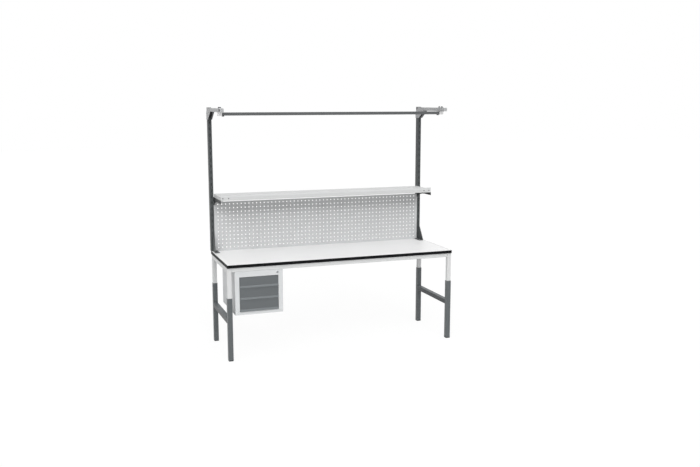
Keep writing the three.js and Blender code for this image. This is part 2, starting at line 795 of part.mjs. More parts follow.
// Drawer front: a pan folded from sheet, with a pull lip bent out along its foot
function drawerFrontGeometry(height) {
  const half = openingWidth / 2 - drawerGap;
  const t = drawerSheet;
  const slope = (pullTop - pullFold) / pullReach;
  const under = t * Math.hypot(1, slope);
  const section = new THREE.Shape();
  section.moveTo(drawerPanel, 0);
  section.lineTo(drawerPanel, height);
  section.lineTo(0, height);
  section.lineTo(0, pullTop + pullBend);
  section.quadraticCurveTo(0, pullTop, -pullBend, pullTop - slope * pullBend);
  section.lineTo(-pullReach, pullFold);
  section.lineTo(-pullReach, -pullDrop);
  section.lineTo(-pullReach + t, -pullDrop);
  section.lineTo(-pullReach + t, pullFold + slope * t - under);
  section.lineTo(0, pullTop - under);
  section.lineTo(0, 0);
  section.closePath();
  const pocket = block(-half + t, half - t, t, drawerPanel + cutOverrun, t, height - t);
  return cut(sweepX(section, -half, half, squareFacets), pocket);
}

// Drawer box: an open tray against the back of the front's skin, with a guide bar on each side
function drawerBoxGeometry(frontHeight) {
  const half = drawerBoxWidth / 2;
  const top = frontHeight - drawerBoxDrop;
  const t = drawerSheet;
  const start = t + seatGap;
  const stop = cabinetFrameDepth + drawerLength - seatGap;
  const tray = block(-half, half, start, stop, drawerBoxLift, top);
  const inside = block(-half + t, half - t, start + t, stop - t, drawerBoxLift + t, top + cutOverrun);
  const guideZ = runnerLift;
  const guides = [-1, 1].map((side) => {
    const root = side * (half - t / 2);
    const tip = side * (half + guideDepth);
    return block(Math.min(root, tip), Math.max(root, tip), cabinetFrameDepth + 2 * seatGap, stop,
      guideZ - guideHeight / 2, guideZ + guideHeight / 2);
  });
  return join(cut(tray, inside), ...guides);
}

// Lock: a flanged barrel in the frame, and the plug that turns in it
function lockBarrelGeometry() {
  const face = -lockFlangeThickness - seatGap;
  const bore = lockPlug / 2 + seatGap;
  const profile = [
    [bore, face], [lockFlange / 2, face], [lockFlange / 2, -seatGap], [lockBarrel / 2, -seatGap],
    [lockBarrel / 2, cabinetFrameDepth], [bore, cabinetFrameDepth], [bore, face],
  ].map(([r, y]) => new THREE.Vector2(r, y));
  return new THREE.LatheGeometry(profile, roundFacets);
}

function lockPlugGeometry() {
  const face = -lockFlangeThickness - seatGap;
  const stop = cabinetFrameDepth + seatGap + camThickness;
  const plug = cylinder(lockPlug / 2, stop - face).rotateX(Math.PI / 2);
  plug.translate(0, (face + stop) / 2, 0);
  const slot = block(-keySlotWidth / 2, keySlotWidth / 2, face - cutOverrun, face + keySlotDepth,
    -keySlotLength / 2, keySlotLength / 2);
  const cam = block(0, camLength, stop - camThickness, stop, -camWidth / 2, camWidth / 2);
  return join(cut(plug, slot), cam);
}

function cabinet() {
  const group = groupAt(cabinetX, cabinetFrontY, cabinetTopZ,
    piece('cabinet_case', cabinetCaseGeometry(), whitePaint),
    piece('cabinet_hanger', hangerGeometry(), whitePaint, 0, 0, seatGap),
    piece('lock_barrel', lockBarrelGeometry(), zinc, cabinetWidth / 2 - lockInset, 0, -lockDrop),
    piece('lock_plug', lockPlugGeometry(), zinc, cabinetWidth / 2 - lockInset, 0, -lockDrop));
  const names = ['top', 'middle', 'bottom', 'fourth', 'fifth', 'sixth'];
  for (let i = 0; i < drawerCount; i += 1) {
    const height = i === 0 ? drawerFrontHeight - topFrontShortfall : drawerFrontHeight;
    const z = topFrontShortfall - openingTopMargin - (i + 1) * (drawerGap + drawerFrontHeight);
    const drawer = groupAt(0, drawerRecess, z,
      piece(`drawer_front_${names[i]}`, drawerFrontGeometry(height), greyPaint),
      piece(`drawer_box_${names[i]}`, drawerBoxGeometry(height), greyPaint));
    group.add(drawer);
    for (const [name, side] of sides) {
      group.add(piece(`runner_${names[i]}_${name}`, runnerGeometry(side), zinc, 0, 0, z + runnerLift));
    }
  }
  return group;
}

const workbench = new THREE.Group();
workbench.name = 'assembly_workbench';
workbench.add(tabletop(), underframe(), uprights(), pegboard(), shelfAssembly(), arms(), toolRail());
workbench.add(cabinet());
for (const [name, side] of sides) {
  workbench.add(legFrame(name, side));
}

export default workbench;
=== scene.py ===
# %% [markdown]
# # Dressing an assembly workbench
#
# The bench arrives as plain solids: tubes, folded sheet, a laminated top. This lesson
# keeps every solid where it is and adds what makes it look bought rather than drawn:
# powder coat, laminate, zinc, weld beads, bolts, plugs and a lock.
# First the imported bench is loaded, and its box is kept and printed.

import math

import bmesh
import bpy
from mathutils import Matrix, Vector


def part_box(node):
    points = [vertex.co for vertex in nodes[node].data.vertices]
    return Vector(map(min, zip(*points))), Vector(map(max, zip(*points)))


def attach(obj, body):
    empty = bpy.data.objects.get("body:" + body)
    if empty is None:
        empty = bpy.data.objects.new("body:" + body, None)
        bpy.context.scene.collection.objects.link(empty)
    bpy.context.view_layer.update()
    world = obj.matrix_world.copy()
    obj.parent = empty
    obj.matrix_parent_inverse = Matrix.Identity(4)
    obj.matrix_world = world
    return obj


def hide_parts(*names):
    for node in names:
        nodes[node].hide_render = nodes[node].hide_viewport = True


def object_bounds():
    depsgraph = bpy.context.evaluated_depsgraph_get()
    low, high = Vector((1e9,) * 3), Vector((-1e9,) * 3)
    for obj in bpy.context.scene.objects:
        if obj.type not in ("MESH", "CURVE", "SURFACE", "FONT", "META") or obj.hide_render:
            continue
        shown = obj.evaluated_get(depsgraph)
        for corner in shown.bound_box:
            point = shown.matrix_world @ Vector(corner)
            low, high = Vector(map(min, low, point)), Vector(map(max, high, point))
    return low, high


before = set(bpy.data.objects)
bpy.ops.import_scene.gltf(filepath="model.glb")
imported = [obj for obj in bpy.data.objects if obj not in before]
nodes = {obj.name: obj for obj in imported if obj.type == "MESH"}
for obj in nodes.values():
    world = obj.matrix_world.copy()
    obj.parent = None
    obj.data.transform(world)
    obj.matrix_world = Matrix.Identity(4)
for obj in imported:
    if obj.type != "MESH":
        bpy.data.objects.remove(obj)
bench_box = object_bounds()
print("bench from", *bench_box, "with", len(nodes), "solids")

# %% [markdown]
# ## Camera
#
# The picture was taken from the bench's left, a little above its tool rail, with a
# slightly long lens. The place and the angles come from lining up the holes of the back
# board and the edges of the top with the picture, so they are used as they are.

# %% Camera
picture_width = 700
focal_pixels = 821.72
sensor = 36.0
camera_place = (-2.2899, -6.7460, 2.1034)
tipped_down = 9.20
turned_right = 20.086

eye = bpy.data.cameras.new("picture_camera")
eye.sensor_fit = "HORIZONTAL"
eye.sensor_width = sensor
eye.lens = focal_pixels / picture_width * sensor
eye.clip_end = 200
camera = bpy.data.objects.new("picture_camera", eye)
camera.location = camera_place
camera.rotation_euler = (math.radians(90 - tipped_down), 0, math.radians(-turned_right))
bpy.context.scene.collection.objects.link(camera)
bpy.context.scene.camera = camera
print("lens", round(eye.lens, 2), "mm")

# %% [markdown]
# ## Shader maths
#
# A node tree is easier to read as a formula. A Wire stands for one output socket, and
# its operators add the Math node that they name. A Finish is one node tree, of a material
# or of the sky: its node method makes any node from its type, its settings and what goes
# into it.

# %% Wires
class Wire:
    """One output socket, which can be used in Python arithmetic."""

    def __init__(self, finish, socket):
        self.finish = finish
        self.socket = socket

    def math(self, operation, *others):
        values = dict(enumerate((self, *others)))
        return self.finish.node("ShaderNodeMath", {"operation": operation}, values)

    def __add__(self, other):
        return self.math("ADD", other)

    def __mul__(self, other):
        return self.math("MULTIPLY", other)

    def __sub__(self, other):
        return self.math("SUBTRACT", other)

    def __rsub__(self, other):
        values = {0: other, 1: self}
        return self.finish.node("ShaderNodeMath", {"operation": "SUBTRACT"}, values)

    __radd__ = __add__
    __rmul__ = __mul__


print("a wire can be added, subtracted and multiplied")


# %% Finishes
class Finish:
    """One material, or the sky, and its node tree."""

    def __init__(self, name, is_sky=False):
        self.owner = (bpy.data.worlds if is_sky else bpy.data.materials).new(name)
        self.owner.use_nodes = True
        self.tree = self.owner.node_tree
        self.tree.nodes.clear()
        self.end = "ShaderNodeOutputWorld" if is_sky else "ShaderNodeOutputMaterial"

    def node(self, kind, settings=None, values=None, output=0):
        made = self.tree.nodes.new(kind)
        for key, value in (settings or {}).items():
            setattr(made, key, value)
        for key, value in (values or {}).items():
            if isinstance(value, Wire):
                self.tree.links.new(value.socket, made.inputs[key])
            else:
                made.inputs[key].default_value = value
        return Wire(self, made.outputs[output])

    def place(self):
        return self.node("ShaderNodeTexCoord", output="Object")

    def height(self):
        return self.node("ShaderNodeSeparateXYZ", values={0: self.place()}, output="Z")

    def stretch(self, vector, scale):
        return self.node("ShaderNodeMapping", values={"Vector": vector, "Scale": scale})

    def noise(self, vector, scale, detail=2.0):
        values = {"Vector": vector, "Scale": scale, "Detail": detail}
        return self.node("ShaderNodeTexNoise", values=values, output="Fac")

    def band(self, wire, low, high):
        """Spreads the part of a wire between low and high over 0 to 1."""
        values = {"Value": wire, "From Min": low, "From Max": high}
        return self.node("ShaderNodeMapRange", {"clamp": True}, values)

    def blend(self, amount, first, second):
        values = {"Factor": amount, "A": first, "B": second}
        return self.node("ShaderNodeMix", {"data_type": "RGBA"}, values, output=2)

    def output(self, shader):
        end = self.tree.nodes.new(self.end)
        self.tree.links.new(shader.socket, end.inputs["Surface"])
        return self.owner

    def surface(self, **values):
        named = {key.replace("_", " "): value for key, value in values.items()}
        return self.output(self.node("ShaderNodeBsdfPrincipled", values=named))


print("a finish makes any node, and bands and blends of its own")

# %% [markdown]
# ## Colours
#
# A colour is written as it looks on screen, where 188 of 255 is about half of full
# light, but Blender mixes the light itself. So each colour is turned linear once, here,
# and a paler or darker tone is the same colour times a factor.

# %% Colours
def colour(red, green, blue):
    """A colour written as on screen, 0 to 255, as the linear colour that Blender mixes."""
    shares = [value / 255 for value in (red, green, blue)]
    linear = [s / 12.92 if s <= 0.04045 else ((s + 0.055) / 1.055) ** 2.4 for s in shares]
    return (*linear, 1.0)


def shade(tone, factor):
    """The same colour, brighter or darker by a factor."""
    return (*[min(1.0, channel * factor) for channel in tone[:3]], 1.0)


print("half of full light is grey 188 on screen:", round(colour(188, 188, 188)[0], 3))

# %% [markdown]
# ## Soft edges
#
# Bent sheet and sawn tube never have knife edges. The Bevel node bends the normal over
# the last millimetre of each corner, which catches a thin line of light without adding a
# face. Where the bent normal and the flat one differ there is an edge, and that
# difference is kept as a mask, which the finishes use to paint a paler edge: a painted
# highlight, and on powder coat also a coat pulled thin.

# %% Edges
edge_start, edge_full = 0.02, 0.25


def soft_edges(finish, radius):
    """The bent normal, and a mask that is 1 along the edges."""
    rounded = finish.node("ShaderNodeBevel", {"samples": 4}, {"Radius": radius})
    flat = finish.node("ShaderNodeNewGeometry", output="Normal")
    along = finish.node("ShaderNodeVectorMath", {"operation": "DOT_PRODUCT"},
                        {0: rounded, 1: flat}, output="Value")
    return rounded, finish.band(1 - along, edge_start, edge_full)


def grain(finish, height, depth, normal):
    """A bump of some depth in metres, over a normal."""
    values = {"Height": height, "Distance": depth, "Strength": 1.0, "Normal": normal}
    return finish.node("ShaderNodeBump", values=values)


print("an edge shows from a bend of", round(math.degrees(math.acos(1 - edge_start))), "degrees")

# %% [markdown]
# ## Powder coat
#
# Nearly all the metal is powder coated. Melted powder settles into a faint orange peel
# about a millimetre across, and its thickness drifts slowly over a long tube. The peel
# is a fine noise in the bump, the drift a wide noise in the colour, and handling leaves
# the gloss slightly uneven. Edges are painted paler, partly a coat pulled thin and partly
# a painted highlight. A coat can also be painted paler in bands of height, as painted
# light where more light falls: each band gives the height where that starts, the height
# where it is full, and how much paler the coat is there.

# %% Powder coat
mm = 0.001
coat_radius = 1.2 * mm
drift_scale, handling_scale, peel_scale = 2.3, 9.0, 620.0
edge_highlight_share, edge_highlight_factor = 0.35, 1.25
gloss_spread = 0.12


def powder_coat(name, tone, roughness=0.42, peel=0.06 * mm, specular=0.35, painted_light=()):
    finish = Finish(name)
    place = finish.place()
    rounded, edge = soft_edges(finish, coat_radius)
    drift = finish.band(finish.noise(place, drift_scale, 3.0), 0.3, 0.7)
    handling = finish.band(finish.noise(place, handling_scale, 5.0), 0.2, 0.8)
    base = finish.blend(drift, shade(tone, 0.975), shade(tone, 1.02))
    # Edges painted paler: partly a coat pulled thin, partly a painted highlight.
    base = finish.blend(edge * edge_highlight_share, base, shade(tone, edge_highlight_factor))
    # Bands of height painted paler where more light falls: painted light.
    for start, full, factor in painted_light:
        amount = finish.band(finish.height(), start, full)
        base = finish.blend(amount, base, shade(tone, factor))
    return finish.surface(
        Base_Color=base,
        Roughness=handling * gloss_spread + (roughness - gloss_spread / 2),
        Specular_IOR_Level=specular,
        Normal=grain(finish, finish.noise(place, peel_scale), peel, rounded))


print("powder coat rounds its corners by", coat_radius / mm, "mm")

# %% [markdown]
# ## The coats of the bench
#
# Each group of pieces has a coat of its own, whose grey is matched to the picture under
# the lamps below. The shelf's white is a little darker than the frame's, painted shade on
# its front, and its top is painted a little brighter, painted light; the top lies a lip's
# height below the shelf's highest edge. The crossbars are a darker grey than the legs, to
# paint shade on their sides, and their tops are painted paler, painted light. The drawer
# fronts are painted a paler line along each pull lip, a painted highlight, and the two
# lower ones along the head, painted light against the lip's shade.

# %% Coats of the frame and the board
white_coat = powder_coat("white_powder_coat", colour(206, 207, 207))
shelf_lip = 15 * mm
shelf_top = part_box("shelf")[1].z - shelf_lip
# Darker than the frame's white, painted shade on the front; a band at the top is painted
# brighter, painted light.
shelf_coat = powder_coat("shelf_white_coat", colour(197, 198, 198),
                         painted_light=[(shelf_top - 0.9 * mm, shelf_top - 0.3 * mm, 1.08)])
cabinet_coat = powder_coat("cabinet_white_coat", colour(205, 207, 208))
leg_coat = powder_coat("leg_grey_coat", colour(89, 93, 95))
bar_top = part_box("crossbar_left")[1].z
# A darker grey that paints shade on the sides, with the top painted paler: painted light.
bar_coat = powder_coat("crossbar_grey_coat", colour(69, 72, 74), specular=0.2,
                       painted_light=[(bar_top - 3.5 * mm, bar_top - 0.5 * mm, 2.15)])
dark_coat = powder_coat("upright_dark_coat", colour(76, 79, 80), specular=0.18)
# A darker grey than the uprights', which paints the shade seen in their slots.
slot_shade_coat = powder_coat("slot_painted_shade_coat", colour(62, 65, 66), specular=0.1)
# The brackets have the uprights' dark paint, made darker still to paint the shade under the
# shelf.
bracket_shade_coat = powder_coat("bracket_painted_shade_coat", colour(48, 50, 51), specular=0.12)
rail_coat = powder_coat("rail_dark_coat", colour(86, 88, 89))
board_coat = powder_coat("board_light_coat", colour(195, 196, 197), roughness=0.5)
arm_coat = powder_coat("arm_grey_coat", colour(171, 172, 173))
# The saddles have the arms' grey, made a little darker: painted shade.
saddle_shade_coat = powder_coat("saddle_painted_shade_coat", colour(165, 166, 167))
clamp_coat = powder_coat("clamp_pale_coat", colour(240, 240, 240), peel=0.1 * mm)
print("powder coats", len(bpy.data.materials))

# %% Coats of the drawers
drawer_tone = colour(95, 99, 101)
drawer_roughness = 0.46
painted_light_factor = 1.4
drawer_coat = powder_coat("drawer_grey_coat", drawer_tone, drawer_roughness)
front_coats = {}
for drawer in ("top", "middle", "bottom"):
    low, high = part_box(f"drawer_front_{drawer}")
    # Paler bands painted on each front: along the pull lip a painted highlight, and on the two
    # lower fronts along the head, painted light against the lip's shade.
    lip_highlight = (low.z + 17.5 * mm, low.z + 14.5 * mm, painted_light_factor)
    head_painted_light = (high.z - 12 * mm, high.z - 5 * mm, painted_light_factor)
    lines = [lip_highlight] if drawer == "top" else [lip_highlight, head_painted_light]
    front_coats[drawer] = powder_coat(f"drawer_{drawer}_coat", drawer_tone, drawer_roughness,
                                      painted_light=lines)
print("coats with those of the drawers", len(bpy.data.materials))

# %% [markdown]
# ## Laminate and its edge
#
# The top is a high-pressure laminate: nearly white, with a pearl surface that hides
# fingerprints and a scatter of faint specks. Its edge is a black plastic band, planed
# flush, so its grain runs along the edge in fine lines, and its corners are painted paler
# as a painted highlight.

# %% Laminate
laminate = Finish("worktop_laminate")
laminate_place = laminate.place()
laminate_edge, _ = soft_edges(laminate, 0.6 * mm)
laminate_tone = colour(245, 245, 245)
speck_scale, pearl_scale = 900.0, 480.0
specks = laminate.band(laminate.noise(laminate_place, speck_scale, 1.0), 0.62, 0.72)
cloud = laminate.band(laminate.noise(laminate_place, 1.7, 4.0), 0.3, 0.7)
laminate_base = laminate.blend(cloud, shade(laminate_tone, 0.985), shade(laminate_tone, 1.01))
laminate_base = laminate.blend(specks * 0.5, laminate_base, shade(laminate_tone, 0.86))
pearl = laminate.noise(laminate_place, pearl_scale, 3.0)
wiped = laminate.noise(laminate.stretch(laminate_place, (3.0, 14.0, 1.0)), 3.0, 6.0)
laminate_top = laminate.surface(
    Base_Color=laminate_base,
    Roughness=laminate.band(wiped, 0.3, 0.7) * 0.1 + 0.36,
    Specular_IOR_Level=0.3,
    Normal=grain(laminate, pearl, 0.05 * mm, laminate_edge))
print("laminate", laminate_top.name)

# %% Edge band
band = Finish("edge_band_black")
band_edge, band_corner_highlight = soft_edges(band, 1.6 * mm)
planed = band.noise(band.stretch(band.place(), (6.0, 6.0, 900.0)), 1.0, 3.0)
# The corners are painted paler: a painted highlight.
edge_band = band.surface(
    Base_Color=band.blend(band_corner_highlight * 0.6, colour(20, 20, 22), colour(46, 47, 50)),
    Roughness=band.band(planed, 0.3, 0.7) * 0.15 + 0.38,
    Specular_IOR_Level=0.03,
    Normal=grain(band, planed, 0.04 * mm, band_edge))
print("edge band", edge_band.name)

# %% [markdown]
# ## Zinc, nickel and plastic
#
# Bolts and runners are zinc plated: metal, pale, with a cloudy bloom where the plating
# is thicker. A thread is a helix a fraction of a millimetre deep, which a Wave texture
# along the bolt gives to the bump at no cost in faces. The lock is turned and
# nickel plated, so its lines run in rings. Feet and plugs are moulded from a grained
# tool, so they have a fine, even tooth.

# %% Zinc
thread_scale = 128.0
thread_depth, plate_depth = 0.3 * mm, 0.04 * mm


def zinc_plate(name, tone, thread=False, spangle=0.0):
    finish = Finish(name)
    place = finish.place()
    rounded, edge = soft_edges(finish, 0.4 * mm)
    bloom = finish.band(finish.noise(place, 60.0, 4.0), 0.25, 0.75)
    if spangle:
        cells = finish.node("ShaderNodeTexVoronoi", values={"Vector": place, "Scale": spangle},
                            output="Distance")
        bloom = bloom * 0.4 + finish.band(cells, 0.0, 0.9) * 0.6
    base = finish.blend(bloom, shade(tone, 0.88), shade(tone, 1.05))
    # Edges painted paler: a painted highlight.
    base = finish.blend(edge * 0.4, base, shade(tone, 1.15))
    height = finish.noise(finish.stretch(place, (1.0, 1.0, 0.2)), 900.0) * 0.2
    if thread:
        values = {"Vector": place, "Scale": thread_scale}
        height = height + finish.node("ShaderNodeTexWave", {"bands_direction": "Z"}, values,
                                      output="Fac")
    depth = thread_depth if thread else plate_depth
    return finish.surface(Base_Color=base, Roughness=bloom * 0.16 + 0.3, Metallic=0.9,
                          Normal=grain(finish, height, depth, rounded))


bolt_zinc = zinc_plate("bolt_zinc", colour(172, 174, 176))
thread_zinc = zinc_plate("thread_zinc", colour(150, 152, 154), thread=True)
runner_zinc = zinc_plate("runner_zinc", colour(182, 184, 186), spangle=160.0)
print("zinc for", bolt_zinc.name, thread_zinc.name, runner_zinc.name)

# %% Nickel
nickel = Finish("lock_nickel")
nickel_edge, nickel_edge_highlight = soft_edges(nickel, 0.3 * mm)
turned = nickel.noise(nickel.stretch(nickel.place(), (1.0, 200.0, 1.0)), 40.0, 3.0)
# Edges painted paler: a painted highlight.
lock_nickel = nickel.surface(
    Base_Color=nickel.blend(nickel_edge_highlight * 0.5, colour(168, 170, 173), colour(205, 206, 208)),
    Roughness=nickel.band(turned, 0.2, 0.8) * 0.14 + 0.16,
    Metallic=1.0,
    Normal=grain(nickel, turned, 0.02 * mm, nickel_edge))
print("nickel", lock_nickel.name)


# %% Plastic
def moulded_plastic(name, tone, roughness):
    finish = Finish(name)
    place = finish.place()
    rounded, edge = soft_edges(finish, 0.8 * mm)
    tooth = finish.noise(place, 1400.0)
    bloom = finish.band(finish.noise(place, 18.0, 4.0), 0.3, 0.7)
    base = finish.blend(bloom, shade(tone, 0.94), shade(tone, 1.05))
    # Edges painted paler: a painted highlight.
    base = finish.blend(edge * 0.3, base, shade(tone, 1.3))
    return finish.surface(
        Base_Color=base,
        Roughness=finish.band(tooth, 0.3, 0.7) * gloss_spread + (roughness - gloss_spread / 2),
        Specular_IOR_Level=0.25,
        Normal=grain(finish, tooth, 0.04 * mm, rounded))


foot_plastic = moulded_plastic("foot_plastic", colour(58, 60, 62), 0.6)
plug_plastic = moulded_plastic("plug_dark_plastic", colour(52, 54, 56), 0.55)
plug_grey = moulded_plastic("plug_grey_plastic", colour(128, 129, 130), 0.55)
plug_pale = moulded_plastic("plug_pale_plastic", colour(172, 173, 174), 0.55)
black_oxide = moulded_plastic("black_oxide", colour(58, 59, 61), 0.42)
print("finishes", len(bpy.data.materials))

# %% [markdown]
# ## Coating the solids
#
# Each solid keeps its shape and gets the finish of the real piece. The names tell which
# piece is which, so one table from the start of a name to a finish covers them all. Where
# two starts fit, the longer one counts.

# %% Coat the solids
finish_of = {
    "tabletop_panel": laminate_top,
    "tabletop_edge_band": edge_band,
    "front_rail": white_coat,
    "rear_rail": white_coat,
    "end_rail": white_coat,
    "leg_tube": white_coat,
    "upright": dark_coat,
    "pegboard": board_coat,
    "shelf": shelf_coat,
    "shelf_bracket": bracket_shade_coat,
    "arm": arm_coat,
    "arm_saddle": saddle_shade_coat,
    "tool_rail": rail_coat,
    "rail_clamp": clamp_coat,
    "rail_clamp_bolt": bolt_zinc,
    "rail_stop": rail_coat,
    "cabinet": cabinet_coat,
    "lock": lock_nickel,
    "drawer_box": drawer_coat,
    "drawer_front_top": front_coats["top"],
    "drawer_front_middle": front_coats["middle"],
    "drawer_front_bottom": front_coats["bottom"],
    "runner": runner_zinc,
    "crossbar": bar_coat,
    "sleeve": leg_coat,
    "foot_cap": foot_plastic,
    "clamp_screw": bolt_zinc,
}
for node_name, solid in nodes.items():
    start = max((key for key in finish_of if node_name.startswith(key)), key=len)
    for slot in solid.material_slots:
        slot.material = finish_of[start]
print("coated", len(nodes), "solids")

# %% [markdown]
# ## Small parts kit
#
# Screws, washers and plugs come up again and again, so each is a small bmesh made once
# and copied where it belongs. A turned part is half an outline spun about its axis. The
# copies are gathered in one mesh for each place on the bench, because one object rides
# on one body.

# %% Copies and finished pieces
weld_distance = 0.002 * mm
crease_degrees = 32


def facing(centre, direction):
    """The place of a part that was made at the origin, looking along +Z."""
    turn = Vector(direction).to_track_quat("Z", "Y").to_matrix().to_4x4()
    return Matrix.Translation(Vector(centre)) @ turn


def raised(place, height):
    """The place that lies so many millimetres further along a part's own axis."""
    return place @ Matrix.Translation((0, 0, height * mm))


def add(gathered, part, place):
    """Copies a small part into a larger bmesh, at its place."""
    scratch = bpy.data.meshes.new("scratch")
    part.to_mesh(scratch)
    scratch.transform(place)
    gathered.from_mesh(scratch)
    bpy.data.meshes.remove(scratch)


def finished(name, gathered, finish, body):
    """Makes a gathered bmesh into a piece that rides on a body."""
    bmesh.ops.remove_doubles(gathered, verts=gathered.verts, dist=weld_distance)
    bmesh.ops.recalc_face_normals(gathered, faces=gathered.faces)
    mesh = bpy.data.meshes.new(name)
    gathered.to_mesh(mesh)
    gathered.free()
    mesh.shade_smooth()
    mesh.set_sharp_from_angle(angle=math.radians(crease_degrees))
    mesh.materials.append(finish)
    piece = bpy.data.objects.new(name, mesh)
    bpy.context.scene.collection.objects.link(piece)
    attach(piece, body)
    print(name, len(mesh.polygons), "faces, on", body)
    return piece


print("pieces are smooth up to", crease_degrees, "degrees")

# %% [markdown]
# ## Turned parts and slabs
#
# Washers, shanks, screw heads and the lock are round, so each is spun from half of its
# section. Plugs, straps and strips are slabs, and only the edges that are round on the
# real piece are bevelled.

# %% Turned parts and slabs
def turned_part(outline, steps=28):
    """Spins (radius, height) points about Z. They start and end on the axis, or close."""
    part = bmesh.new()
    points = [part.verts.new((radius * mm, 0, height * mm)) for radius, height in outline]
    edges = [part.edges.new(pair) for pair in zip(points, points[1:])]
    bmesh.ops.spin(part, geom=points + edges, cent=(0, 0, 0), axis=(0, 0, 1),
                   angle=2 * math.pi, steps=steps, use_merge=True)
    bmesh.ops.remove_doubles(part, verts=part.verts, dist=weld_distance)
    bmesh.ops.recalc_face_normals(part, faces=part.faces)
    return part


def round_off(part, edges, width, segments):
    """Bevels edges round, by a width in millimetres."""
    bmesh.ops.bevel(part, geom=edges, offset=width * mm, segments=segments, profile=0.5,
                    affect="EDGES", material=-1)


def slab(width, depth, height):
    """A block in metres, about the origin."""
    part = bmesh.new()
    bmesh.ops.create_cube(part, size=1.0)
    bmesh.ops.scale(part, verts=part.verts, vec=(width, depth, height))
    return part


def top_edges(part, height):
    """The edges of a part's top face, which lies height millimetres above its foot."""
    return [edge for edge in part.edges if all(v.co.z > height * 0.9 * mm for v in edge.verts)]


def block_plug(width, depth, height, corner, crown):
    """A moulded plug: a slab with round corners and a softened top edge."""
    part = slab(width * mm, depth * mm, height * mm)
    bmesh.ops.translate(part, verts=part.verts, vec=(0, 0, height / 2 * mm))
    upright = [edge for edge in part.edges
               if abs(edge.verts[0].co.z - edge.verts[1].co.z) > height / 2 * mm]
    round_off(part, upright, corner, 4)
    round_off(part, top_edges(part, height), crown, 3)
    return part


print("turned parts, slabs and plugs can be made")

# %% [markdown]
# ## Hexagons, washers and screws
#
# A bolt head is a six-sided drum with its top edges bevelled, because the corners of a
# real one are turned off. A socket is an inset face, pushed down. The sizes are those of
# 8 mm bolts, which take a 13 mm spanner.

# %% Hexagons, washers and screws
def hexagon(across_flats, height, socket=0.0):
    """A hexagonal head or nut, chamfered where the spanner goes on."""
    part = bmesh.new()
    corner = across_flats / math.sqrt(3) * mm
    bmesh.ops.create_cone(part, cap_ends=True, cap_tris=False, segments=6, radius1=corner,
                          radius2=corner, depth=height * mm)
    bmesh.ops.translate(part, verts=part.verts, vec=(0, 0, height / 2 * mm))
    round_off(part, top_edges(part, height), 0.09 * across_flats, 2)
    if socket:
        face = max(part.faces, key=lambda f: f.calc_center_median().z)
        bmesh.ops.inset_region(part, faces=[face], thickness=socket * mm)
        moved = bmesh.ops.extrude_discrete_faces(part, faces=[face])["faces"]
        bmesh.ops.translate(part, verts=moved[0].verts, vec=(0, 0, -height * 0.4 * mm))
    return part


def washer(inner, outer, thickness, rim=0.3):
    """A flat ring whose outer corners are softened."""
    return turned_part([(inner, 0), (outer - rim, 0), (outer, rim), (outer, thickness - rim),
                        (outer - rim, thickness), (inner, thickness), (inner, 0)])


def button_head(radius, height, socket):
    """A domed screw head with a round-bottomed socket."""
    dome = [(radius * math.cos(math.radians(a)), height * math.sin(math.radians(a)))
            for a in range(0, 60, 12)]
    return turned_part([(0, 0), (radius, 0), *dome[1:], (socket, height * 0.93),
                        (socket * 0.92, height * 0.35), (0, height * 0.28)])


thread_radius = 4


def shank(length, chamfer):
    """The threaded part of a bolt, with its chamfered end at the origin."""
    return turned_part([(0, 0), (thread_radius - chamfer, 0), (thread_radius, chamfer),
                        (thread_radius, length), (0, length)])


spanner_size = 13
bolt_hole = 4.2
washer_sheet, thin_sheet, flange_sheet = 1.6, 1.4, 1.2
hex_bolt = hexagon(spanner_size, 5.3)
low_bolt = hexagon(15, 4)
hex_nut = hexagon(spanner_size, 6.5)
plain_washer = washer(bolt_hole, 8, washer_sheet)
shelf_screw = button_head(4.6, 2.6, 1.6)
plate_screw = button_head(5.5, 3.0, 2.2)
print("kit: bolts, nut, washer and two screws, the bolt with", len(hex_bolt.faces), "faces")

# %% [markdown]
# ## Shelf screws
#
# Two small screws at each end hold the shelf's front plate to its brackets. They are
# just visible in the picture as dark specks on the pale lip, so their places across the
# shelf are measured and their height is measured above the floor.

# %% Shelf screws
shelf_screw_height = 1.2940
shelf_screw_places = (-0.947, -0.898, 0.898, 0.947)
shelf_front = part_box("shelf")[0].y
screws = bmesh.new()
for x in shelf_screw_places:
    add(screws, shelf_screw, facing((x, shelf_front, shelf_screw_height), (0, -1, 0)))
finished("shelf_front_screws", screws, plug_plastic, "bench")

# %% [markdown]
# ## Bracket bolts
#
# Each shelf bracket ends in a tab beside the upright. Two bolts through the tab carry
# the shelf, with washers because the coat would crack under a bare head.

# %% Bracket bolts
sides = {"left": -1, "right": 1}
tab_sheet = 2.7 * mm
tab_bolt_drop = 20 * mm
tab_front_inset, tab_rear_inset = 14 * mm, 16 * mm
for name, side in sides.items():
    bracket_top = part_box(f"shelf_bracket_{name}")[1].z
    post_low, post_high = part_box(f"upright_{name}")
    tab_x = (post_low.x if side > 0 else post_high.x) - side * tab_sheet
    bolts = bmesh.new()
    for y in (post_low.y + tab_front_inset, post_high.y - tab_rear_inset):
        place = facing((tab_x, y, bracket_top - tab_bolt_drop), (-side, 0, 0))
        add(bolts, plain_washer, place)
        add(bolts, hex_bolt, raised(place, washer_sheet))
    finished(f"bracket_bolts_{name}", bolts, bolt_zinc, "bench")

# %% [markdown]
# ## Saddle bolts
#
# A saddle of two plates clamps each overhead arm to its upright. Two long bolts pass
# through both plates and the upright: low heads outside, washers and nuts inside.

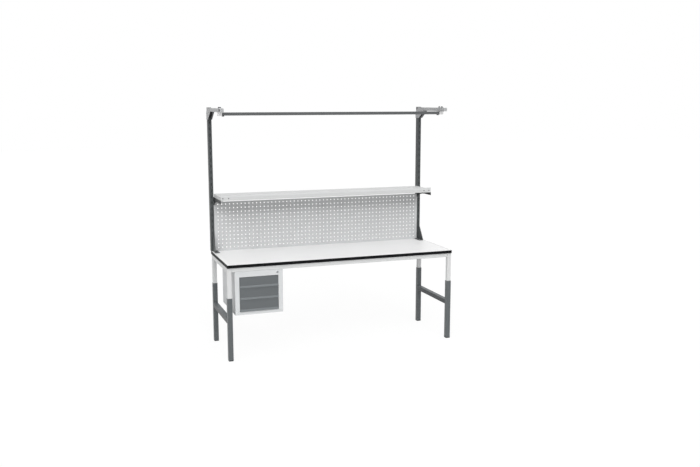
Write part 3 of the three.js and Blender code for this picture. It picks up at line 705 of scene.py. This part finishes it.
# %% Saddle bolts
saddle_bolt_heights = (1.953, 2.001)
tail_length, tail_chamfer = 11.2, 0.6
tail = turned_part([
    (0, 0), (thread_radius, 0), (thread_radius, tail_length - tail_chamfer),
    (thread_radius - tail_chamfer, tail_length), (0, tail_length)])
for name, side in sides.items():
    low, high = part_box(f"arm_saddle_{name}")
    post_low, post_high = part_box(f"upright_{name}")
    outside, inside = (high.x, low.x) if side > 0 else (low.x, high.x)
    middle = (post_low.y + post_high.y) / 2
    bolts = bmesh.new()
    for z in saddle_bolt_heights:
        head = facing((outside, middle, z), (side, 0, 0))
        nut = facing((inside, middle, z), (-side, 0, 0))
        add(bolts, low_bolt, head)
        add(bolts, plain_washer, nut)
        add(bolts, hex_nut, raised(nut, washer_sheet))
        add(bolts, tail, nut)
    finished(f"saddle_bolts_{name}", bolts, bolt_zinc, "bench")

# %% [markdown]
# ## Plugs
#
# An open tube end is sharp and collects dust, so each upright has a grey plug in its top
# and each arm a pale one in its tip. A plug is a slab with the tube's round corners.

# %% Plugs
plug_gap = 0.1 * mm
plug_margin = Vector((0.6, 0.6, 0.6))
plug_corner = 2.8
cap_height, cap_crown = 4.6, 1.6
tip_height, tip_crown = 2.4, 1.3
for name in sides:
    low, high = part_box(f"upright_{name}")
    size = (high - low) / mm - plug_margin
    cap = bmesh.new()
    place = Matrix.Translation(((low.x + high.x) / 2, (low.y + high.y) / 2, high.z + plug_gap))
    add(cap, block_plug(size.x, size.y, cap_height, plug_corner, cap_crown), place)
    finished(f"upright_plug_{name}", cap, plug_grey, "bench")

    low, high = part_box(f"arm_{name}")
    size = (high - low) / mm - plug_margin
    tip = bmesh.new()
    place = facing(((low.x + high.x) / 2, low.y - plug_gap, (low.z + high.z) / 2), (0, -1, 0))
    add(tip, block_plug(size.x, size.z, tip_height, plug_corner, tip_crown), place)
    finished(f"arm_plug_{name}", tip, plug_pale, "bench")

# %% [markdown]
# ## Slot covers
#
# The slots of an upright don't look into a dark tube: a strip stands just behind them,
# in a darker grey than the upright that paints the shade of the slots. It is a long slab
# inside the tube, a little clear of the front wall.

# %% Slot covers
upright_wall = 2 * mm
strip_width, strip_sheet = 24 * mm, 1.2 * mm
strip_shortfall, strip_clearance = 24 * mm, 1.0 * mm
for name in sides:
    low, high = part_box(f"upright_{name}")
    strip = slab(strip_width, strip_sheet, high.z - low.z - strip_shortfall)
    middle = ((low.x + high.x) / 2, low.y + upright_wall + strip_clearance,
              (low.z + high.z) / 2)
    bmesh.ops.translate(strip, verts=strip.verts, vec=middle)
    finished(f"slot_cover_{name}", strip, slot_shade_coat, "bench")

# %% [markdown]
# ## Rail clamp bolts
#
# The tool rail hangs from two clamp blocks. Two black bolts stand on a strap over each
# arm, pass down through its slot and are screwed into the block. The plain solid of
# strap, heads and shanks gives way to pieces with round corners, washers and threads.

# %% Rail clamp bolts
strap_width, strap_height, strap_corner, strap_crown = 24, 3, 3, 0.6
clamp_washer, clamp_hexagon, clamp_chamfer = 7.4, 6.6, 0.7
head_and_strap, head_height = 11 * mm, 8 * mm
for name in sides:
    node_name = f"rail_clamp_bolt_{name}"
    low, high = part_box(node_name)
    centre = (low + high) / 2
    strap_z = high.z - head_and_strap
    reach = (high.y - low.y) / 2 - spanner_size / math.sqrt(3) * mm
    strap = bmesh.new()
    plate = block_plug(strap_width, (high.y - low.y) / mm, strap_height, strap_corner,
                       strap_crown)
    add(strap, plate, Matrix.Translation((centre.x, centre.y, strap_z)))
    strap_piece = finished(f"clamp_strap_{name}", strap, bolt_zinc, "tool_rail_set")
    heads = bmesh.new()
    shanks = bmesh.new()
    length = (strap_z - low.z) / mm + 1
    for y in (centre.y - reach, centre.y + reach):
        seat = Matrix.Translation((centre.x, y, high.z - head_height))
        add(heads, washer(bolt_hole, clamp_washer, thin_sheet), seat)
        add(heads, hexagon(spanner_size, clamp_hexagon), raised(seat, thin_sheet))
        add(shanks, shank(length, clamp_chamfer), Matrix.Translation((centre.x, y, low.z)))
    finished(f"clamp_heads_{name}", heads, black_oxide, "tool_rail_set")
    finished(f"clamp_shanks_{name}", shanks, thread_zinc, "tool_rail_set")
    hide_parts(node_name)

# %% [markdown]
# ## Arm tip screws
#
# On the outer face of each arm, close to its tip, a black screw holds the plug. It shows
# in the picture as a dark speck at the left arm's end.

# %% Arm tip screws
tip_inset = 14 * mm
tip_washer, tip_hexagon = 9, 4.2
key_socket = 1.6
for name, side in sides.items():
    low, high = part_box(f"arm_{name}")
    face = high.x if side > 0 else low.x
    place = facing((face, low.y + tip_inset, (low.z + high.z) / 2), (side, 0, 0))
    tip_screw = bmesh.new()
    add(tip_screw, washer(bolt_hole, tip_washer, thin_sheet), place)
    add(tip_screw, hexagon(spanner_size, tip_hexagon, socket=key_socket),
        raised(place, thin_sheet))
    finished(f"arm_tip_screw_{name}", tip_screw, black_oxide, "bench")

# %% [markdown]
# ## Foot of the board
#
# The board ends a few millimetres above the worktop, and in the picture no light shows
# there. A folded strip in the board's own coat closes the slit.

# %% Foot of the board
foot_sheet, foot_inset = 1.2 * mm, 0.7 * mm
foot_gap, foot_play = 0.2 * mm, 0.3 * mm
worktop_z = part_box("tabletop_panel")[1].z
for name in sides:
    low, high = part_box(f"pegboard_{name}")
    foot_height = low.z - worktop_z - foot_play
    foot = slab(high.x - low.x, foot_sheet, foot_height)
    middle = ((low.x + high.x) / 2, low.y + foot_inset, worktop_z + foot_gap + foot_height / 2)
    bmesh.ops.translate(foot, verts=foot.verts, vec=middle)
    finished(f"board_foot_{name}", foot, board_coat, "bench")

# %% [markdown]
# ## Leg clamp screws
#
# The height of the bench is held by a hexagon screw at the back of each outer leg. The
# plain screws are replaced by ones with a chamfered head, a flange and a thread.

# %% Leg clamp screws
leg_head = 5.5 * mm
leg_flange, leg_hexagon, leg_chamfer = 8.5, 4.3, 0.8
for name in sides:
    for end in ("front", "rear"):
        node_name = f"clamp_screw_{end}_{name}"
        low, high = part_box(node_name)
        centre = (low + high) / 2
        head_y = high.y - leg_head
        screw = bmesh.new()
        place = facing((centre.x, head_y, centre.z), (0, 1, 0))
        add(screw, washer(bolt_hole, leg_flange, flange_sheet), place)
        add(screw, hexagon(spanner_size, leg_hexagon, socket=key_socket),
            raised(place, flange_sheet))
        start = facing((centre.x, low.y, centre.z), (0, 1, 0))
        add(screw, shank((head_y - low.y) / mm, leg_chamfer), start)
        piece = finished(f"leg_screw_{end}_{name}", screw, bolt_zinc, f"{name}_legs")
        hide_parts(node_name)

# %% [markdown]
# ## Cabinet lock
#
# A cam lock has a flanged barrel in the cabinet's frame and a plug that turns in it. The
# flange is a turned part with a soft rim and a groove round the plug. The plug carries a
# dark slab for the key slot, sunk into its face, and the cam at the back.

# %% Lock barrel
barrel_low, barrel_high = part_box("lock_barrel")
lock_centre = (barrel_low + barrel_high) / 2
case_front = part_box("cabinet_case")[0].y
rim_gap = 0.2 * mm
rim_place = facing((lock_centre.x, case_front - rim_gap, lock_centre.z), (0, -1, 0))
barrel_length = (barrel_high.y - case_front) / mm
barrel_bore, barrel_radius, flange_radius = 5.9, 7.4, 10
lock_steps = 48
barrel = bmesh.new()
add(barrel, turned_part([
    (barrel_bore, -barrel_length), (barrel_radius, -barrel_length), (barrel_radius, -0.1),
    (flange_radius - 0.1, -0.1), (flange_radius, 0.6), (9.5, 1.3), (8.6, 1.8),
    (7.2, 2.0), (6.7, 1.5), (6.2, 1.5), (barrel_bore, 1.9), (barrel_bore, -barrel_length),
], steps=lock_steps), rim_place)
lock_rim = finished("cabinet_lock_rim", barrel, lock_nickel, "bench")
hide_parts("lock_barrel")

# %% Lock plug and key slot
plug_radius, plug_face, plug_rounding = 5.4, 2.1, 0.4
plug_back = -barrel_length - 2
cam_size, cam_corner, cam_crown = (16, 8, 2), 3.4, 0.4
cam_offset = 6 * mm
plug = bmesh.new()
add(plug, turned_part([
    (0, plug_back), (plug_radius, plug_back), (plug_radius, plug_face - plug_rounding),
    (plug_radius - plug_rounding, plug_face), (0, plug_face)], steps=lock_steps), rim_place)
cam = block_plug(*cam_size, cam_corner, cam_crown)
cam_place = Matrix.Translation((-cam_offset, 0, (plug_back - 0.1) * mm))
add(plug, cam, rim_place @ cam_place)
lock_plug = finished("cabinet_lock_plug", plug, lock_nickel, "lock")
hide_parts("lock_plug")

key_slot_size, key_slot_rounding = (1.5 * mm, 7.0 * mm, 0.5 * mm), 0.12
key_slot = slab(*key_slot_size)
round_off(key_slot, key_slot.edges, key_slot_rounding, 2)
slot_piece = bmesh.new()
add(slot_piece, key_slot, raised(rim_place, plug_face - 0.1))
finished("cabinet_key_slot", slot_piece, plug_plastic, "lock")

# %% [markdown]
# ## Foot plate screws
#
# Each upright stands on a plate that is screwed down through the worktop. Two domed
# screws on the inner side of the plate are within reach of a hexagon key.

# %% Foot plate screws
plate_sheet = 4 * mm
plate_reach = 11 * mm
plate_insets = (18 * mm, 70 * mm)
for name, side in sides.items():
    low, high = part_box(f"upright_foot_{name}")
    inner = low.x if side > 0 else high.x
    heads = bmesh.new()
    for inset in plate_insets:
        seat = (inner + side * plate_reach, low.y + inset, low.z + plate_sheet)
        add(heads, plate_screw, facing(seat, (0, 0, 1)))
    finished(f"foot_plate_screws_{name}", heads, bolt_zinc, "bench")

# %% [markdown]
# ## Weld beads
#
# The crossbars are welded to the outer legs, and the rails to the inner ones. A fillet
# weld is a slim bead in the corner where the two tubes meet: here a twelve-sided rod,
# above and below a crossbar and under a rail, narrowed at both ends and softened. Coated
# over, it has the colour of the frame.

# %% Weld beads
bead_radius = 1.5
bead_inset = 3 * mm


def bead(gathered, start, end):
    """A bead from one corner of a joint to the other."""
    start, end = Vector(start), Vector(end)
    length = (end - start).length / mm
    outline = [(0, 0), (bead_radius * 0.6, 0.5), (bead_radius, 2), (bead_radius, length - 2),
               (bead_radius * 0.6, length - 0.5), (0, length)]
    add(gathered, turned_part(outline, steps=12), facing(start, end - start))


def bead_across(gathered, low, high, y, z):
    """A bead along X, a little short of both corners."""
    bead(gathered, (low.x + bead_inset, y, z), (high.x - bead_inset, y, z))


for name in sides:
    low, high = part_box(f"crossbar_{name}")
    beads = bmesh.new()
    for y in (low.y, high.y):
        for z in (low.z, high.z):
            bead_across(beads, low, high, y, z)
    finished(f"crossbar_welds_{name}", beads, leg_coat, f"{name}_legs")
    low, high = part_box(f"end_rail_{name}")
    beads = bmesh.new()
    for y in (low.y, high.y):
        bead_across(beads, low, high, y, low.z)
    for rail in ("front_rail", "rear_rail"):
        low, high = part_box(rail)
        x = low.x if name == "left" else high.x
        bead(beads, (x, low.y + bead_inset, low.z), (x, high.y - bead_inset, low.z))
    finished(f"frame_welds_{name}", beads, white_coat, "bench")

# %% [markdown]
# ## Screws under and behind
#
# The back and the underside are seen when the bench is turned round. The frame is
# screwed up into the worktop from below, the cabinet's back is screwed on, and the
# board's side flanges are riveted to the uprights.

# %% Screws under and behind
rail_shares = (0.04, 0.5, 0.74, 0.96)
under = bmesh.new()
for rail in ("front_rail", "rear_rail"):
    low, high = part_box(rail)
    middle = (low.y + high.y) / 2
    for share in rail_shares:
        x = low.x + share * (high.x - low.x)
        add(under, plate_screw, facing((x, middle, low.z), (0, 0, -1)))
finished("frame_screws", under, bolt_zinc, "bench")

back_inset = 14 * mm
low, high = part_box("cabinet_case")
back = bmesh.new()
for x in (low.x + back_inset, (low.x + high.x) / 2, high.x - back_inset):
    for z in (low.z + back_inset, high.z - back_inset):
        add(back, shelf_screw, facing((x, high.y, z), (0, 1, 0)))
finished("cabinet_back_screws", back, bolt_zinc, "bench")

rivet_shares = (0.08, 0.5, 0.92)
return_sheet, rivet_inset = 2.0 * mm, 5.5 * mm
rivet = button_head(3.6, 1.8, 1.1)
rivets = bmesh.new()
for name, side in sides.items():
    low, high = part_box(f"pegboard_{name}")
    x = (high.x if side > 0 else low.x) - side * return_sheet
    for share in rivet_shares:
        z = low.z + share * (high.z - low.z)
        add(rivets, rivet, facing((x, high.y - rivet_inset, z), (-side, 0, 0)))
finished("board_rivets", rivets, bolt_zinc, "bench")

# %% [markdown]
# ## Light
#
# The picture has the even light of a studio with a white sweep: the top is brightest,
# the front nearly as bright, the left side a step darker, and the shelf throws a soft
# shade on the board. A wide lamp overhead lifts what faces up. A small one in front, low
# enough to reach under the shelf, draws the shade, and a softer one above it reaches the
# foot of the board. Two wide lamps at the left, one low and one high, light the sides and
# the legs under the top, and a faint sky fills in. The sky lights the bench faintly, but
# the camera and the metal see it as white, so the test is on three kinds of ray.

# %% Sky
sky_share = 0.08
white = (1, 1, 1, 1)


def seen_directly(finish):
    """1 to the camera, in mirrors and through clear pieces, and 0 in all other light."""
    rays = [finish.node("ShaderNodeLightPath", output=name)
            for name in ("Is Camera Ray", "Is Glossy Ray", "Is Transmission Ray")]
    return rays[0].math("MAXIMUM", rays[1]).math("MAXIMUM", rays[2])


sky = Finish("studio_sky", is_sky=True)
faint = sky.node("ShaderNodeBackground", values={"Color": white, "Strength": sky_share})
bright = sky.node("ShaderNodeBackground", values={"Color": white, "Strength": 1.0})
sky_mix = sky.node("ShaderNodeMixShader", values={0: seen_directly(sky), 1: faint, 2: bright})
bpy.context.scene.world = sky.output(sky_mix)
print("sky lights with", sky_share, "and is seen as white")


# %% Lamps
def lamp(name, direction, share, width):
    """A far lamp: its share of full light on a surface that faces it, its width in degrees."""
    light = bpy.data.lights.new(name, "SUN")
    light.energy = share * math.pi
    light.angle = math.radians(width)
    made = bpy.data.objects.new(name, light)
    made.rotation_euler = Vector(direction).to_track_quat("Z", "Y").to_euler()
    bpy.context.scene.collection.objects.link(made)
    print(name, "gives", share)


def towards(azimuth, rise):
    """A lamp's direction, in degrees to the right of straight in front and above the floor."""
    turn, rise = math.radians(azimuth), math.radians(rise)
    return math.sin(turn) * math.cos(rise), -math.cos(turn) * math.cos(rise), math.sin(rise)


lamp("front_lamp", towards(0, 26), 0.21, 12)
lamp("high_front_lamp", towards(0, 46), 0.2, 36)
lamp("left_lamp", towards(-35, 12), 0.23, 50)
lamp("high_left_lamp", towards(-45, 40), 0.29, 50)
lamp("overhead_lamp", (0, 0, 1), 0.42, 100)

# %% [markdown]
# ## Floor
#
# The floor is a wide pale sheet. To the camera most of it is plain white, and a small
# share is a lit surface, so that the bench keeps a faint shadow under its feet. Metal
# shows the same floor, so it has the sky's test on three kinds of ray. All other light
# meets the lit surface alone.

# %% Floor
floor_half_width = 30.0
floor_gap = 0.5 * mm
plain_share, plain_strength = 0.88, 1.04
lit_grey = (0.82, 0.82, 0.82, 1)
floor_bmesh = bmesh.new()
bmesh.ops.create_grid(floor_bmesh, x_segments=8, y_segments=8, size=floor_half_width)
floor_mesh = bpy.data.meshes.new("studio_floor")
floor_bmesh.to_mesh(floor_mesh)
floor_bmesh.free()
floor = bpy.data.objects.new("studio_floor", floor_mesh)
floor.location.z = bench_box[0].z - floor_gap
bpy.context.scene.collection.objects.link(floor)

sweep = Finish("studio_sweep")
lit = sweep.node("ShaderNodeBsdfDiffuse", values={"Color": lit_grey})
plain = sweep.node("ShaderNodeEmission",
                   values={"Color": white, "Strength": plain_strength})
plain_amount = seen_directly(sweep) * plain_share
floor_mix = sweep.node("ShaderNodeMixShader", values={0: plain_amount, 1: lit, 2: plain})
floor_mesh.materials.append(sweep.output(floor_mix))
print("floor", 2 * floor_half_width, "m wide")

# %% [markdown]
# ## View and finish
#
# Colours are shown as they are mixed, with no film look.

# %% View and finish
bpy.context.scene.view_settings.view_transform = "Standard"
